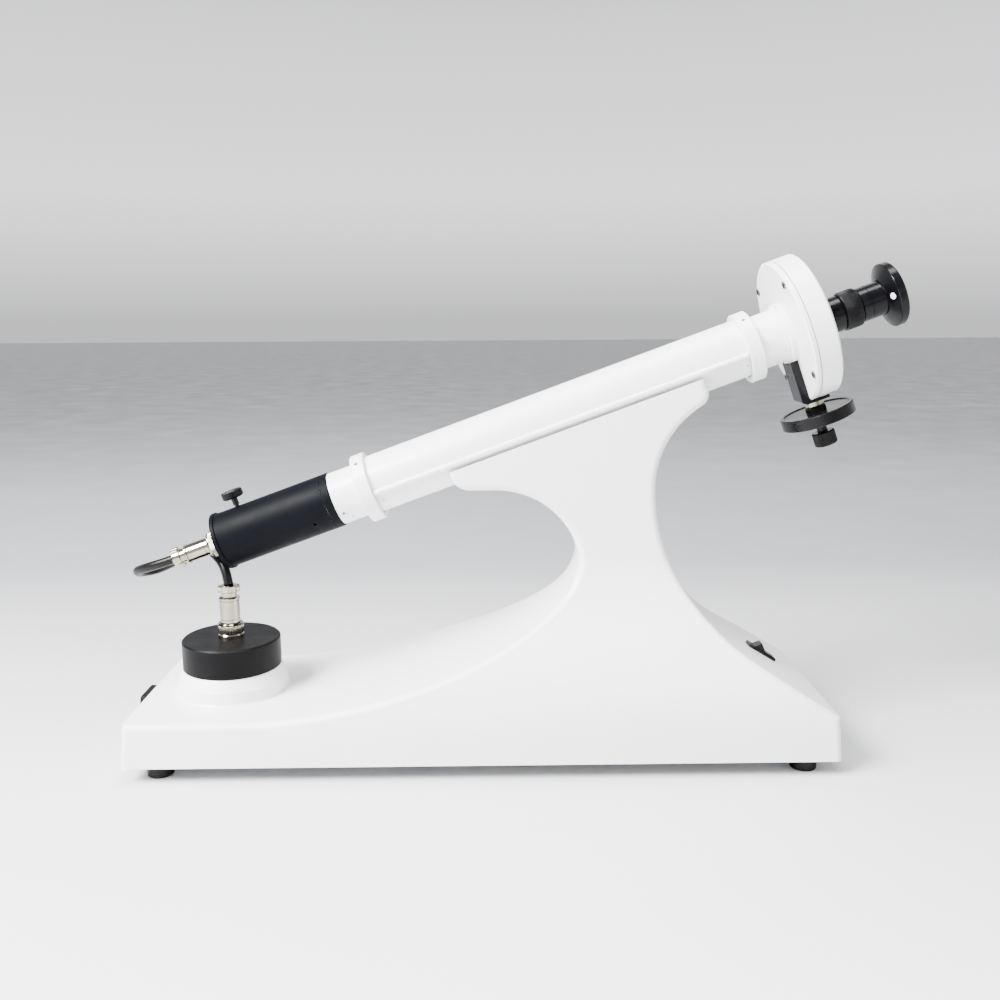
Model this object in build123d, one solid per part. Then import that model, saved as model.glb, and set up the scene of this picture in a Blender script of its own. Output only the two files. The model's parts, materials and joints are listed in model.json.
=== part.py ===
from build123d import *
import os
from math import asin, atan2, cos, degrees, hypot, pi, radians, sin, sqrt, tan

# Disc polarimeter. Millimetres, +Z up, +X from the lamp end towards the eyepiece, +Y away from
# the operator's side. The origin is on the table, under the middle of the instrument.

# ---- driving dimensions -------------------------------------------------------------------
BASE_X = -20.45         # middle of the base along X
BASE_LENGTH = 459.5
BASE_WIDTH = 135.0
FOOT_HEIGHT = 10.5      # the casting stands this far above the table
EDGE_TOP = 39.35        # top of the base's vertical edge
END_DRAFT = 2.8         # the end faces lean in by this much
COLUMN_HALF = 22.0      # half the column's thickness
WALL = 4.0              # casting wall

TILT = 20.0             # slope of the optical tube, degrees
AXIS_HEIGHT = 206.25    # height of the tube's axis above the middle of the base

BARREL_R = 18.5
BARREL_BORE = 16.8
END_TUBE_R = 17.77
END_TUBE_BORE = 15.6
COVER_IN = 18.75
COVER_R = 19.75
RING_R = 23.2
RING_WIDTH = 9.0
BARREL_START = -84.4    # positions along the tube, from the point above the middle of the base
BARREL_END = 190.7

LAMP_R = 18.7
LAMP_START = -186.1
LAMP_END = -103.0
THUMB_AT = -167.4

CRADLE_DROP = 7.2       # the cradle's top plane is this far under the tube's axis
CRADLE_START = -25.0
CRADLE_END = 150.3
GROOVE_R = 20.8
SPARE = 30.0            # height of the uncut head over the tube's axis

DIAL_R = 47.2
DIAL_BACK = 212.8
DIAL_SEAM = 216.2
DIAL_FRONT = 230.6
ROTOR_R = 9.0
SHAFT_AT = 217.0        # where the handwheel's shaft crosses the tube
SHAFT_R = 2.0
RUN = 0.05              # radial running clearance

GEAR_TEETH = 36
PINION_TEETH = 12
GEAR_PITCH_R = 14.0

CAP_X = BASE_X - 172.5
CAP_R = 33.0
CAP_BOTTOM = 55.7
CAP_TOP = 75.6

CABLE_D = 6.4
PLUG_TAIL = -221.4      # where the cable leaves the lamp plug, along the tube
CAP_PLUG_TOP = 112.4    # where it enters the cap plug

WAIST_X = BASE_X + 114.0
WAIST_Z = 180.5
THROAT_TOP = 179.0
SHOULDER_R = 128.0      # the arc from the waist down to the straight shoulder
SWITCH_X = BASE_X + 192.4
INLET_Z = 24.8

# ---- frames -------------------------------------------------------------------------------
ca, sa = cos(radians(TILT)), sin(radians(TILT))
# local Z runs along the tube, local Y is its upward normal, local X is +Y of the instrument
TUBE = Plane(origin=(BASE_X, 0, AXIS_HEIGHT), x_dir=(0, 1, 0), z_dir=(ca, 0, sa))


def on_tube(part):
    return TUBE.location * part


def tube_point(along, normal=0.0, side=0.0):
    """A point of the instrument from its place along, above and beside the tube's axis."""
    return (BASE_X + along * ca - normal * sa, side, AXIS_HEIGHT + along * sa + normal * ca)


def turned(*outline):
    """A solid of revolution about local Z, from (radius, height) corners."""
    return revolve(Plane.XZ * make_face(Polyline(*outline, close=True)), Axis.Z)


def tube(r_in, r_out, z0, z1):
    return turned((r_in, z0), (r_out, z0), (r_out, z1), (r_in, z1))


def rod(r, z0, z1):
    return turned((0, z0), (r, z0), (r, z1), (0, z1))


def block(x0, x1, y0, y1, z0, z1):
    return Pos((x0 + x1) / 2, (y0 + y1) / 2, (z0 + z1) / 2) * Box(x1 - x0, y1 - y0, z1 - z0)


def sector(r_in, r_out, z0, z1, from_deg, to_deg):
    """Part of a tube between two angles about local Z."""
    face = make_face(Polyline((r_in, z0), (r_out, z0), (r_out, z1), (r_in, z1), close=True))
    turned_face = Rot(0, 0, from_deg) * (Plane.XZ * face)
    return revolve(turned_face, Axis.Z, to_deg - from_deg)


def radial_rod(r, from_r, to_r, along, angle):
    """A rod lying along a radius of local Z, at this angle."""
    return Rot(0, 0, angle) * Pos(0, 0, along) * Rot(0, 90, 0) * rod(r, from_r, to_r)


def joined(*parts):
    whole = parts[0]
    for part in parts[1:]:
        whole = whole + part
    return whole


def group(*parts):
    """Separate solids that share one node."""
    solids = []
    for part in parts:
        solids += part.solids()
    return Compound(children=solids)


# ---- stand --------------------------------------------------------------------------------
def tangent_to(centre, radius, point):
    """Heading and length of the line from a point to where it touches an arc."""
    away = centre - point
    heading = atan2(away.Y, away.X) + asin(radius / away.length)
    return heading, sqrt(away.dot(away) - radius ** 2)


def heading_vector(angle):
    return Vector(cos(radians(angle)), sin(radians(angle)))


def stand_side(inset=0.0):
    """Side view of the casting: base, sweeping throat, head under the tube and right shoulder.
    The head is left too tall, for the cradle to be cut into it.
    With an inset it is the side view of the hollow inside."""
    half = BASE_LENGTH / 2 - inset
    left_foot = (BASE_X - half, FOOT_HEIGHT)
    right_foot = (BASE_X + half, FOOT_HEIGHT)
    left_top = (BASE_X - half + END_DRAFT, EDGE_TOP - inset)
    right_top = (BASE_X + half - END_DRAFT, EDGE_TOP - inset * 0.58)
    sweep_start = Vector(BASE_X - 150.6, EDGE_TOP - inset)

    # three arcs that run into each other: the throat's lower one, its tip and its upper one
    throat, throat_r = Vector(BASE_X + 22.6, 136.7), 42.3
    tip_r = 16.0
    tip = throat + heading_vector(-8) * (throat_r - tip_r)
    upper_throat_r = (THROAT_TOP - tip.Y - tip_r * sin(radians(15))) / (1 - sin(radians(15)))
    upper_throat = tip - heading_vector(15) * (upper_throat_r - tip_r)
    throat_in = throat + heading_vector(-38.3) * (throat_r + inset)
    throat_heading = heading_vector(51.7)
    throat_mid = throat + heading_vector(-23) * (throat_r + inset)
    tip_in = throat + heading_vector(-8) * (throat_r + inset)
    tip_mid = tip + heading_vector(3.5) * (tip_r + inset)
    tip_out = tip + heading_vector(15) * (tip_r + inset)
    throat_back = upper_throat + heading_vector(52) * (upper_throat_r + inset)
    throat_top = upper_throat + Vector(0, upper_throat_r + inset)

    # the lip's end face is square to the tube and meets the throat's level underside
    def on_side(along, drop):
        x, _, z = tube_point(along, -drop)
        return Vector(x, z)

    lip_start = CRADLE_START + inset * 5
    lip_drop = (AXIS_HEIGHT + lip_start * sa - throat_top.Y) / ca
    lip_corner = on_side(lip_start, lip_drop)
    cradle_end = CRADLE_END - inset
    top_left = on_side(lip_start, -SPARE)
    top_right = on_side(cradle_end, -SPARE)

    waist = Vector(WAIST_X - inset, WAIST_Z)
    upper_r, lower_r = 62.5 + inset, SHOULDER_R + inset
    upper = waist + Vector(upper_r, 0)
    lower = waist + Vector(lower_r, 0)
    # where the cradle's right end face meets the upper arc
    end = on_side(cradle_end, 0) - upper
    down = Vector(sa, -ca)
    along = end.dot(down)
    drop = -along - sqrt(along ** 2 - end.dot(end) + upper_r ** 2)
    nose_corner = on_side(cradle_end, drop)
    nose_angle = atan2((nose_corner - upper).Y, (nose_corner - upper).X)
    half_way = (nose_angle + pi) / 2
    upper_mid = upper + Vector(cos(half_way), sin(half_way)) * upper_r
    # the straight shoulder is tangent to the lower arc
    heading, reach = tangent_to(lower, lower_r, Vector(*right_top))
    shoulder = Vector(*right_top) + Vector(cos(heading), sin(heading)) * reach
    lower_angle = (atan2((shoulder - lower).Y, (shoulder - lower).X) % (2 * pi) + pi) / 2
    lower_mid = lower + Vector(cos(lower_angle), sin(lower_angle)) * lower_r

    outline = Polyline(left_foot, left_top, sweep_start)
    outline += Bezier(
        sweep_start,
        sweep_start + Vector(66.7, 0.8),
        throat_in - throat_heading * 50.2,
        throat_in,
    )
    outline += ThreePointArc(throat_in, throat_mid, tip_in)
    outline += ThreePointArc(tip_in, tip_mid, tip_out)
    outline += ThreePointArc(tip_out, throat_back, throat_top)
    outline += Polyline(throat_top, lip_corner, top_left, top_right, nose_corner)
    outline += ThreePointArc(nose_corner, upper_mid, waist)
    outline += ThreePointArc(waist, lower_mid, shoulder)
    outline += Polyline(shoulder, right_top, right_foot, left_foot)
    side = make_face(outline)
    if inset:
        return side
    lip = side.vertices().sort_by_distance((lip_corner.X, lip_corner.Y))[0]
    side = fillet(lip, 13.0)
    nose = side.vertices().sort_by_distance((nose_corner.X, nose_corner.Y))[0]
    return fillet(nose, 8.0)


def stand_section(inset=0.0):
    """End view: upright base edges that sweep in to the thin column."""
    half, column = BASE_WIDTH / 2 - inset, COLUMN_HALF - inset
    top = 300.0
    right = Line((half, FOOT_HEIGHT), (half, 29.0))
    right += Bezier((half, 29.0), (half, 80.8 - inset / 2), (column, 88.9 - inset / 2), (column, 136.3))
    right += Line((column, 136.3), (column, top))
    left = mirror(right, Plane.YZ)
    floor = Line((-half, FOOT_HEIGHT), (half, FOOT_HEIGHT))
    lid = Line((-column, top), (column, top))
    return make_face(right + lid + left + floor)


def crossed(side, section):
    """The solid that has this side view and this end view."""
    deep, far = BASE_WIDTH / 2 + 5, BASE_LENGTH / 2 + 60
    long_way = extrude(Plane(origin=(0, deep, 0), x_dir=(1, 0, 0), z_dir=(0, -1, 0)) * side, 2 * deep)
    start = Plane(origin=(BASE_X - far, 0, 0), x_dir=(0, 1, 0), z_dir=(1, 0, 0))
    return long_way & extrude(start * section, 2 * far)


def height_over_axis(point):
    return (point.Z - AXIS_HEIGHT) * ca - (point.X - BASE_X) * sa


def is_rim(edge):
    """True on the sharp edges of the casting's outside, above its foot and below the cradle."""
    along = edge % 0.5
    if height_over_axis(edge.center()) > SPARE - 0.5:
        return False
    straight = edge.geom_type == GeomType.LINE
    level_seam = straight and abs(along.X) > 0.999
    crosses = straight and abs(along.Y) > 0.999
    return edge.bounding_box().max.Z > FOOT_HEIGHT + 0.5 and not level_seam and not crosses


def make_stand():
    body = crossed(stand_side(), stand_section())
    body = fillet([e for e in body.edges() if is_rim(e)], 4.5)
    pillars = [Pos(x, y, 0) * tube(1.6, 4.5, FOOT_HEIGHT + 2, 75) & body for x, y in plate_screw_places()]
    cavity = crossed(stand_side(WALL), stand_section(WALL))
    cavity += block(BASE_X - 224, BASE_X + 224, -63, 63, FOOT_HEIGHT - 1, FOOT_HEIGHT + WALL + 1)
    cavity -= on_tube(rod(GROOVE_R + WALL, -260, 260))
    body -= on_tube(block(-60, 60, -CRADLE_DROP, SPARE + 20, -120, 220))
    body -= on_tube(rod(GROOVE_R, -120, 220))
    body -= cavity
    pad = on_tube(sector(BARREL_R, GROOVE_R + 0.6, -18, 143, 255, 285))
    boss = Pos(CAP_X, 0, 0) * turned(
        (29.0, EDGE_TOP - 3), (38.6, EDGE_TOP - 3), (38.6, EDGE_TOP + 0.2), (37.7, EDGE_TOP + 1.2),
        (37.0, 48.0), (36.2, 49.3), (33.4, 54.4), (32.6, CAP_BOTTOM), (29.0, CAP_BOTTOM))
    body = body + pad + boss
    body -= Pos(CAP_X, 0, 0) * rod(29.0, EDGE_TOP - 8, CAP_BOTTOM + 1)
    body -= inlet_frame() * block(-8, 30, -10.3, 10.3, -9.5, 9.5)
    body -= switch_frame() * block(-10.2, 10.2, -4.95, 4.95, -12, 4)
    return joined(body, *pillars)


def plate_screw_places():
    return [(BASE_X + x, y) for x in (-186.0, -40.0, 186.0) for y in (-54.0, 54.0)]


def foot_places():
    return [(BASE_X + x, y) for x in (-209.0, 209.0) for y in (-51.0, 51.0)]


def make_base_plate():
    plate = block(BASE_X - 223.8, BASE_X + 223.8, -62.8, 62.8, FOOT_HEIGHT, FOOT_HEIGHT + 2)
    plate = fillet(plate.edges().filter_by(Axis.Z), 4)
    for x, y in plate_screw_places():
        plate -= Pos(x, y, 0) * rod(1.6, 0, 20)
    for x, y in foot_places():
        plate -= Pos(x, y, 0) * rod(2.0, 0, 20)
    for i in range(7):
        plate -= block(BASE_X + 20 + 8 * i, BASE_X + 23 + 8 * i, -20, 20, 0, 20)
    for x, y in board_post_places():
        plate += Pos(x, y, 0) * tube(1.0, 3.0, FOOT_HEIGHT + 2, BOARD_Z)
    return plate


def screw(r, head_r, head_h, length):
    """A screw standing head down at local Z 0, with a socket in its head."""
    body = rod(head_r, 0, head_h) + rod(r, head_h, head_h + length)
    return body - extrude(RegularPolygon(head_r * 0.5, 6), head_h * 0.6)


def make_plate_screws():
    return group(*[Pos(x, y, FOOT_HEIGHT - 2.0) * screw(1.5, 3.0, 2.0, 12) for x, y in plate_screw_places()])


def make_feet():
    shape = turned((2.1, 4.5), (5.0, 4.5), (5.0, 0), (8.0, 0), (8.6, 0.8), (8.8, FOOT_HEIGHT), (2.1, FOOT_HEIGHT))
    return group(*[Pos(x, y, 0) * shape for x, y in foot_places()])


def make_foot_screws():
    return group(*[Pos(x, y, 1.5) * screw(1.95, 4.0, 3.0, 12) for x, y in foot_places()])


# ---- mains inlet, switch and lamp supply ------------------------------------------------------
def inlet_frame():
    """Local X runs into the base from its left end face."""
    lean = degrees(atan2(END_DRAFT, EDGE_TOP - FOOT_HEIGHT))
    x = BASE_X - BASE_LENGTH / 2 + END_DRAFT * (INLET_Z - FOOT_HEIGHT) / (EDGE_TOP - FOOT_HEIGHT)
    return Pos(x, 0, INLET_Z) * Rot(0, lean, 0)


INLET_FLANGE = 6.6      # the flange stands this far out


def make_inlet():
    """Appliance inlet: a flange with an open recess that three flat pins stand in."""
    body = block(-INLET_FLANGE, 0, -12, 12, -12.1, 12.1)
    body = fillet(body.edges().filter_by(Axis.X), 2.5)
    body = chamfer(body.faces().sort_by(Axis.X)[0].edges(), 0.8)
    body += block(0, 16, -10.2, 10.2, -9.4, 9.4)
    recess = block(-8, 12.5, -8.7, 8.7, -7.0, 7.0)
    recess = chamfer(recess.edges().filter_by(Axis.X).group_by(Axis.Z)[-1], 4.0)
    body -= recess
    for y, z in pin_places():
        body -= inlet_pin(y, z, 11.5, 30)
    return inlet_frame() * body


def pin_places():
    return [(-5.0, -1.8), (0.0, 2.6), (5.0, -1.8)]


def inlet_pin(y, z, x0, x1):
    return Pos(0, y, z) * Rot(0, 90, 0) * rod(1.2, x0, x1)


def make_inlet_pins():
    pins = [inlet_pin(y, z, -2.5, 22) for y, z in pin_places()]
    return group(*[inlet_frame() * p for p in pins])


def switch_frame():
    """On the right shoulder: local Z is the shoulder's normal and local X runs down it."""
    foot = Vector(BASE_X + BASE_LENGTH / 2 - END_DRAFT, EDGE_TOP)
    heading, _ = tangent_to(Vector(WAIST_X + SHOULDER_R, WAIST_Z), SHOULDER_R, foot)
    slope = pi - heading
    z = EDGE_TOP + (foot.X - SWITCH_X) * tan(slope)
    return Pos(SWITCH_X, 0, z) * Rot(0, degrees(slope), 0)


ROCKER_PIVOT = -4.0     # under the shoulder's surface
ROCKER_THROW = 18.0     # each side of level, degrees


def make_switch_body():
    body = block(-10.85, 10.85, -5.25, 5.25, 0, 2.0)
    body = fillet(body.edges().filter_by(Axis.Z), 0.9)
    body = chamfer(body.faces().sort_by(Axis.Z)[-1].edges(), 0.5)
    body += block(-10.1, 10.1, -4.9, 4.9, -17, 0)
    body -= block(-9.4, 9.4, -4.15, 4.15, -13, 5)
    body -= Pos(0, 0, ROCKER_PIVOT) * Rot(90, 0, 0) * rod(1.25, -6, 6)
    return switch_frame() * body


def make_rocker():
    side = Polyline((-8.6, 1.5), (-8.18, 3.65), (-6.46, 8.73), (0, 6.75), (6.46, 8.73), (8.18, 3.65), (8.6, 1.5),
                    (4, -5), (-4, -5), close=True)
    body = Pos(0, 4, 0) * extrude(Plane.XZ * make_face(side), 8)
    body += Rot(90, 0, 0) * rod(1.2, -4.8, 4.8)
    return switch_frame() * Pos(0, 0, ROCKER_PIVOT) * Rot(0, ROCKER_THROW, 0) * body


BOARD_Z = 19.0


def board_post_places():
    return [(x, y) for x in (BASE_X - 105, BASE_X - 15) for y in (-23, 23)]


def make_supply_board():
    board = block(BASE_X - 110, BASE_X - 10, -28, 28, BOARD_Z, BOARD_Z + 1.6)
    for x, y in board_post_places():
        board -= Pos(x, y, 0) * rod(1.6, 0, 30)
    return board


def make_transformer():
    core = block(BASE_X - 98, BASE_X - 66, -17, 17, 20.6, 35.0)
    coil = block(BASE_X - 92, BASE_X - 72, -21, 21, 22.5, 33.0)
    return core + fillet(coil.edges().filter_by(Axis.X), 2.0)


def make_capacitors():
    cans = [Pos(BASE_X - 52, y, 20.6) * rod(5.0, 0, 13) for y in (-14, 0)]
    cans += [Pos(BASE_X - 34, y, 20.6) * rod(4.0, 0, 10) for y in (-16, -5, 6)]
    return joined(*cans)


# ---- cap with its socket and plug ---------------------------------------------------------------
def make_cap():
    shell = turned(
        (6.1, CAP_TOP), (CAP_R - 1.0, CAP_TOP), (CAP_R, CAP_TOP - 1.0), (CAP_R, CAP_BOTTOM + 0.4),
        (CAP_R - 0.4, CAP_BOTTOM), (28.9, CAP_BOTTOM), (28.9, 50.0), (26.4, 50.0),
        (26.4, CAP_TOP - 3), (6.1, CAP_TOP - 3))
    return Pos(CAP_X, 0, 0) * shell


def make_cap_socket():
    z = CAP_TOP
    shape = turned(
        (0, z - 9), (6.0, z - 9), (6.0, z), (8.7, z), (8.7, z + 2.4), (8.2, z + 3.2), (7.6, z + 3.2),
        (7.6, z + 8.0), (6.1, z + 8.0), (6.1, z + 3.0), (0, z + 3.0))
    nut = Pos(0, 0, z - 6) * (extrude(RegularPolygon(9.0, 6), 3) - rod(6.0, -1, 5))
    return Pos(CAP_X, 0, 0) * (shape + nut)


def connector_nut(r, bore, back_bore, length, back):
    """Coupling nut from local Z 0: it turns on the plug's body and screws over the socket."""
    return turned(
        (bore, 0), (r - 0.5, 0), (r, 0.5), (r, length - 0.7), (r - 0.7, length),
        (back_bore, length), (back_bore, length - back), (bore, length - back))


def connector_body(inner_r, body_r, neck_r, start, shoulder, ridge, neck, tail):
    """A plug's body: the end inside the nut, the barrel with its ridge, and the neck."""
    return turned(
        (0, start), (inner_r, start), (inner_r, shoulder), (body_r, shoulder + 0.8),
        (body_r, ridge - 1.6), (body_r + 0.45, ridge - 1.2), (body_r + 0.45, ridge - 0.3),
        (body_r + 0.1, ridge), (neck_r, neck), (neck_r, tail), (0, tail))


def cable_clamp(bore, outer, z0, z1):
    ring = turned((bore, z0), (outer - 0.5, z0), (outer, z0 + 0.5), (outer, z1 - 0.8), (outer - 0.8, z1), (bore, z1))
    return ring - radial_rod(0.85, -outer - 1, outer + 1, (z0 + z1) / 2, 25)


def clamp_screws(bore, outer, z0, z1):
    """Two cheese-head screws that squeeze the clamp onto the cable."""
    screws = []
    for angle in (25, 205):
        screws.append(radial_rod(0.85, bore + 0.05, outer, (z0 + z1) / 2, angle)
                      + radial_rod(1.5, outer, outer + 1.0, (z0 + z1) / 2, angle))
    return group(*screws)


CAP_PLUG = dict(bore=3.0, outer=6.8, z0=107.4, z1=CAP_PLUG_TOP)
LAMP_PLUG = dict(bore=3.0, outer=6.5, z0=215.6, z1=-PLUG_TAIL)


def make_cap_nut():
    return Pos(CAP_X, 0, CAP_TOP + 3.4) * connector_nut(8.7, 7.68, 6.25, 7.2, 1.2)


def make_cap_plug():
    z = CAP_TOP
    body = connector_body(6.2, 6.7, 5.6, z + 8.3, z + 10.7, 103.8, 104.6, 107.4)
    return Pos(CAP_X, 0, 0) * body


def make_cap_clamp():
    return Pos(CAP_X, 0, 0) * (cable_clamp(**CAP_PLUG))


def make_cap_clamp_screws():
    return Pos(CAP_X, 0, 0) * clamp_screws(**CAP_PLUG)


# ---- lamp housing -------------------------------------------------------------------------------
# the plug's own Z runs down the tube, away from the lamp
LAMP_PLUG_FRAME = TUBE.location * Rot(180, 0, 0)


def make_lamp_housing():
    shell = turned(
        (6.0, LAMP_START), (19.6, LAMP_START), (19.7, LAMP_START + 0.4), (19.7, LAMP_START + 2.4),
        (LAMP_R, LAMP_START + 2.8), (LAMP_R, LAMP_END - 5.3), (END_TUBE_R + 0.03, LAMP_END - 5.3),
        (END_TUBE_R + 0.03, -118.0), (16.2, -118.0), (16.2, LAMP_START + 3), (6.0, LAMP_START + 3))
    shell -= radial_rod(1.5, 10, 22, THUMB_AT, 90)
    shell -= radial_rod(1.0, 10, 22, -118.4 - 1.2, 209.5)
    return on_tube(shell)


def make_lamp_collar():
    ring = turned(
        (END_TUBE_R + 0.03, LAMP_END - 5.0), (LAMP_R, LAMP_END - 5.0), (LAMP_R, LAMP_END - 0.5),
        (LAMP_R - 0.5, LAMP_END), (END_TUBE_R + 0.03, LAMP_END))
    return on_tube(ring)


def make_thumb_screw():
    outline = turned(
        (0, 12.3), (1.45, 12.3), (1.45, 19.9), (2.1, 19.9), (2.1, 24.6), (6.2, 24.6), (7.1, 25.4), (7.1, 29.4),
        (6.4, 30.1), (0, 30.1))
    return on_tube(Pos(0, 0, THUMB_AT) * Rot(-90, 0, 0) * outline)


def make_lamp_socket():
    s = -LAMP_START
    shape = turned(
        (0, s - 10), (5.9, s - 10), (5.9, s), (7.4, s), (7.4, s + 2.0), (5.2, s + 2.0), (5.2, s + 7.0),
        (4.4, s + 7.0), (4.4, s + 3.0), (0, s + 3.0))
    nut = Pos(0, 0, s - 6) * (extrude(RegularPolygon(8.5, 6), 3) - rod(5.9, -1, 5))
    return LAMP_PLUG_FRAME * (shape + nut)


def make_lamp_nut():
    return LAMP_PLUG_FRAME * Pos(0, 0, -LAMP_START + 2.15) * connector_nut(8.95, 5.28, 4.75, 6.3, 0.9)


def make_lamp_plug():
    s = -LAMP_START
    body = connector_body(4.7, 6.15, 4.9, s + 7.4, s + 8.6, 211.7, 212.3, 215.6)
    return LAMP_PLUG_FRAME * body


def make_lamp_clamp():
    return LAMP_PLUG_FRAME * cable_clamp(**LAMP_PLUG)


def make_lamp_clamp_screws():
    return LAMP_PLUG_FRAME * clamp_screws(**LAMP_PLUG)


def make_lamp_holder():
    body = turned((0, -158), (16.1, -158), (16.1, -151), (10, -151), (10, -154), (0, -154))
    body += turned((0, -171.5), (5, -171.5), (5, -158), (0, -158))
    for i in range(4):
        body += turned((4, -170 + 3 * i), (12.2, -170 + 3 * i), (12.2, -168.8 + 3 * i), (4, -168.8 + 3 * i))
    return on_tube(body)


def make_lamp_led():
    board = rod(9.5, -154, -152.6)
    dome = turned((0, -152.6), (3.2, -152.6), (3.0, -150.8), (2.1, -149.6), (0, -149.0))
    return on_tube(board + dome)


def lens(r, middle, edge, at):
    """A plano-convex lens with its flat face at this place along the tube."""
    bulge = middle - edge
    curve_r = (r * r + bulge * bulge) / (2 * bulge)
    half = asin(r / 2 / curve_r)
    on_curve = (curve_r * sin(half), at + middle - curve_r * (1 - cos(half)))
    outline = Line((0, at), (r, at)) + Line((r, at), (r, at + edge))
    outline += ThreePointArc((r, at + edge), on_curve, (0, at + middle))
    outline += Line((0, at + middle), (0, at))
    return on_tube(revolve(Plane.XZ * make_face(outline), Axis.Z))


def make_lens_ring():
    return on_tube(turned((13.5, -138), (16.15, -138), (16.15, -129), (14.6, -129), (14.6, -135), (13.5, -135)))


# ---- polariser, half-shade and sample chamber ----------------------------------------------------
def make_lamp_end_tube():
    body = turned(
        (END_TUBE_BORE, -117.8), (END_TUBE_R, -117.8), (END_TUBE_R, BARREL_START),
        (BARREL_BORE - 0.02, BARREL_START), (BARREL_BORE - 0.02, -71.0), (END_TUBE_BORE, -71.0))
    body -= radial_rod(1.1, 12, 20, -99.2, 210.9)
    body -= radial_rod(0.8, 12, 20, -94.6, 227.4)
    return on_tube(body)


def disc_holder(s0, s1, aperture, seat_r):
    """A ring that fills the end tube's bore, with a seat for a round plate."""
    return turned(
        (aperture, s0), (END_TUBE_BORE - 0.05, s0), (END_TUBE_BORE - 0.05, s1),
        (seat_r, s1), (seat_r, s1 - 3.0), (aperture, s1 - 3.0))


def make_polariser_holder():
    return on_tube(disc_holder(-104.0, -97.0, 7.0, 10.0))


def make_polariser():
    return on_tube(rod(9.95, -100.0, -98.0))


def make_filter():
    return on_tube(rod(9.95, -112.5, -110.5))


def make_filter_holder():
    return on_tube(disc_holder(-116.5, -109.5, 7.0, 10.0))


def make_half_shade_holder():
    return on_tube(disc_holder(-94.0, -87.0, 6.0, 10.0))


def make_half_shade():
    left = block(-9.9, -2.0, -6, 6, -90.0, -88.6)
    strip = block(-1.95, 1.95, -9, 9, -90.0, -88.6)
    right = block(2.0, 9.9, -6, 6, -90.0, -88.6)
    keep = rod(9.9, -91, -88)
    return group(*[on_tube(p & keep) for p in (left, strip, right)])


def make_chamber_windows():
    return group(on_tube(rod(9.95, -76.0, -74.2)), on_tube(rod(9.95, 184.0, 185.8)))


def make_window_holders():
    return group(on_tube(disc_holder(-80.0, -73.0, 7.5, 10.0)), on_tube(disc_holder(180.0, 187.0, 7.5, 10.0)))


def make_barrel():
    body = tube(BARREL_BORE, BARREL_R, BARREL_START, BARREL_END)
    body -= sector(10, 25, -62, 170, 65, 185)
    for along, angle in ((180.4 - 1.0, 210.9), (-71.5, 210.9), (180.4 - 1.0, 30), (-71.5, 30)):
        body -= radial_rod(1.0, BARREL_BORE + 0.9, 20, along, angle)
    return on_tube(body)


def make_cover():
    """A shell over the sample opening; its lower front edge is a rounded bead to lift it by."""
    start, end = BARREL_START + SEAT + 0.2, BARREL_END - SEAT - 0.2
    bead_start, bead_end = BARREL_START + RING_WIDTH + 0.6, BARREL_END - RING_WIDTH - 0.6
    shell = sector(COVER_IN, COVER_R, start, end, 45, 187)
    shell -= sector(COVER_IN - 1, COVER_R + 1, start - 1, bead_start, 184, 190)
    shell -= sector(COVER_IN - 1, COVER_R + 1, bead_end, end + 1, 184, 190)
    bead = Rot(0, 0, 188.2) * Pos(COVER_R + 0.75, 0, 0) * rod(1.9, bead_start, bead_end)
    bead -= rod(COVER_IN, bead_start - 1, bead_end + 1)
    return on_tube(shell + bead)


SEAT = 6.4              # length of a ring's seat on the barrel
GRUB_IN = 4.4           # its grub screws from the barrel's end


def ring_screw_angles():
    return (36, 126, 261)


def make_ring(seat_from, seat_to, far, grub_at):
    """A fixed ring: it is screwed on the barrel's end, and its counterbore guides the cover."""
    low, high = min(seat_from, far), max(seat_from, far)
    body = turned((BARREL_R, low), (RING_R - 0.5, low), (RING_R, low + 0.5), (RING_R, high - 0.5),
                  (RING_R - 0.5, high), (BARREL_R, high))
    guide_low, guide_high = min(seat_to, far), max(seat_to, far)
    body -= tube(BARREL_R - 1, COVER_R + RUN, guide_low, guide_high)
    for angle in ring_screw_angles():
        body -= radial_rod(1.25, BARREL_R - 1, RING_R + 1, grub_at, angle)
    return on_tube(body)


def make_lamp_ring():
    return make_ring(BARREL_START, BARREL_START + SEAT, BARREL_START + RING_WIDTH, BARREL_START + GRUB_IN)


def make_dial_ring():
    return make_ring(BARREL_END, BARREL_END - SEAT, BARREL_END - RING_WIDTH, BARREL_END - GRUB_IN)


def make_grub_screws():
    grubs = []
    for along in (BARREL_START + GRUB_IN, BARREL_END - GRUB_IN):
        for angle in ring_screw_angles():
            grubs.append(radial_rod(1.2, BARREL_R + 0.05, RING_R - 1.6, along, angle))
    return group(*[on_tube(g) for g in grubs])


# ---- dial, analyser and handwheel ----------------------------------------------------------------
BRACKET = 18.2          # the bracket is a square bar
BRACKET_BOTTOM = 48.5   # distance of its lower end from the tube's axis
BRACKET_STEP = 43.2     # the wide foot of the bracket starts this far from the axis


def square_down(half, s0, s1, near, far):
    """A box below the tube's axis, from near to far, between two places along the tube."""
    return block(-half, half, -far, -near, s0, s1)


def down_rod(r, near, far, along=SHAFT_AT):
    return radial_rod(r, near, far, along, 270)


def make_analyser_tube():
    body = turned(
        (END_TUBE_BORE, 178.0), (BARREL_BORE - 0.02, 178.0), (BARREL_BORE - 0.02, BARREL_END),
        (END_TUBE_R, BARREL_END), (END_TUBE_R, 206.8), (END_TUBE_BORE, 206.8))
    return on_tube(body)


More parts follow.
